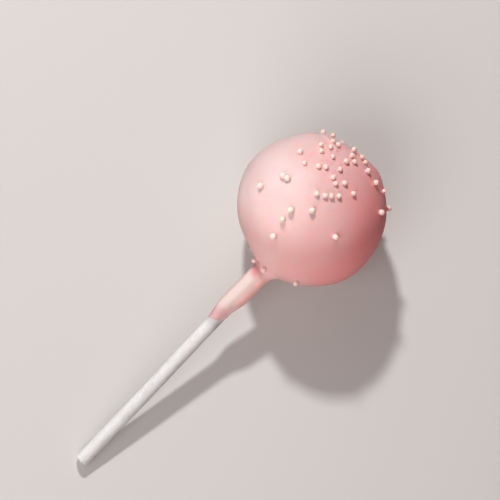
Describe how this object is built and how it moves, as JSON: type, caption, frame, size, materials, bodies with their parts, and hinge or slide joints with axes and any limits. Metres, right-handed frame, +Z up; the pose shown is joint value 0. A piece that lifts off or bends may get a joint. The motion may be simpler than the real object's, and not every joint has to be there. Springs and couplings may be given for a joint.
{
  "type": "cake pop",
  "caption": "Ball of cake in a satin pink coating with scattered sugar pearls, on a rolled paper stick that the coating runs down a little way; lies on its side.",
  "frame": {"origin": "middle of the small flat spot that the ball rests on", "axes": "+Z up; +X towards the crown of the ball, away from the stick, which leaves towards -X and slopes down to the surface; +Y to the side on which the ball stands out further from the stick"},
  "size_m": [0.1153, 0.0428, 0.0431],
  "materials": {
    "pink_coating": null,
    "sugar_pearls": null,
    "white_paper": "tightly rolled white paper, smooth and matt"
  },
  "bodies": {
    "root": {"coated_ball": "pink_coating", "stick": "white_paper"}
  },
  "joints": []
}
